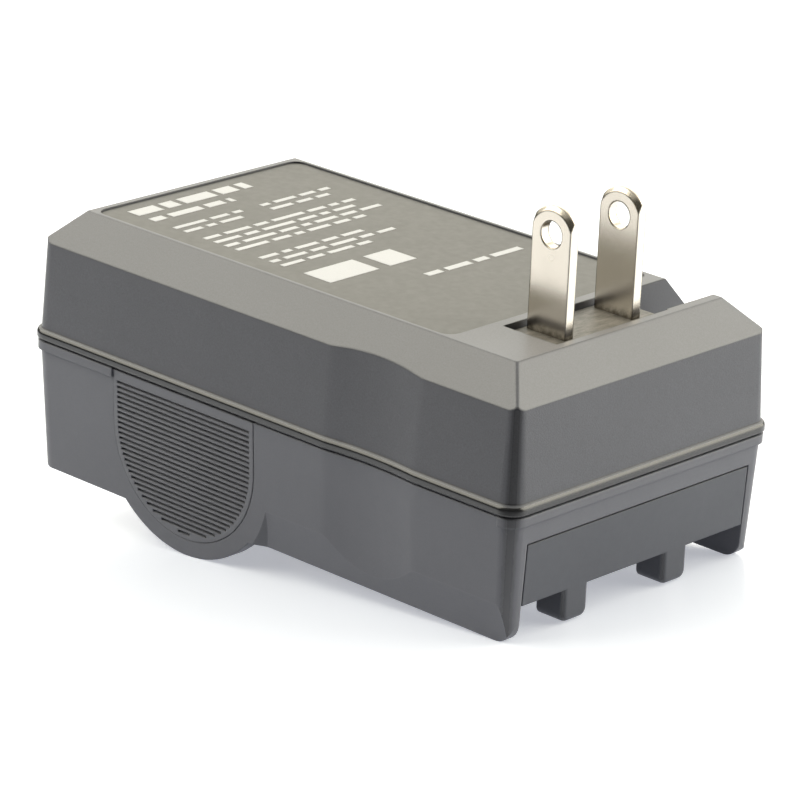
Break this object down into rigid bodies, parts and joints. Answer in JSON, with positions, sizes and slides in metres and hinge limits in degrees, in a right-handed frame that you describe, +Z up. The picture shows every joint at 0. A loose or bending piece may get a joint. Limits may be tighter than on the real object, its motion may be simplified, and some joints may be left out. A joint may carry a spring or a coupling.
{
  "type": "camera battery charger",
  "caption": "Travel charger for camera batteries: case with sloped shoulders, ribbed thumb grips, a battery bay below and a flat-blade mains plug that folds into its top.",
  "frame": {"origin": "middle of the case in plan, at the tips of the two grip ears", "axes": "+X along the case to the plug end, +Y to the long side that the plug folds towards, +Z up along the unfolded blades"},
  "size_m": [0.0886, 0.05, 0.0569],
  "materials": {
    "case": "satin moulded, fine grain",
    "grip": "satin moulded, fine grooves",
    "label": "printed film, semi-gloss",
    "plug_plastic": "matt moulded",
    "blade_metal": "nickel-plated, satin",
    "contact_metal": "bare stamped",
    "board": "solder mask",
    "ferrite": "matt",
    "winding": "taped",
    "can": "sleeved",
    "package": "moulded",
    "fuse_body": "lacquered",
    "jack": "moulded",
    "lamp": "clear, diffused",
    "screw_metal": "zinc-plated"
  },
  "bodies": {
    "housing": {"upper_shell": "case", "lower_shell": "case", "battery_plate": "case", "grip_insert_near": "grip", "grip_insert_far": "grip", "label_panel": "label", "plug_contact_near": "contact_metal", "plug_contact_far": "contact_metal", "battery_contact_negative": "contact_metal", "battery_contact_signal": "contact_metal", "battery_contact_positive": "contact_metal", "circuit_board": "board", "transformer_core": "ferrite", "transformer_winding": "winding", "input_capacitor": "can", "output_capacitor": "can", "bridge_rectifier": "package", "controller_chip": "package", "optocoupler": "package", "fuse": "fuse_body", "dc_jack": "jack", "status_led": "lamp", "light_pipe": "lamp", "case_screws": "screw_metal"},
    "plug": {"plug_carrier": "plug_plastic", "plug_blade_near": "blade_metal", "plug_blade_far": "blade_metal"}
  },
  "joints": [
    {"name": "plug_fold", "type": "hinge", "parent": "housing", "child": "plug", "pos_m": [0.03313, -0.00692, 0.0372], "axis": [-1, 0, 0], "range_deg": [0, 90]}
  ]
}
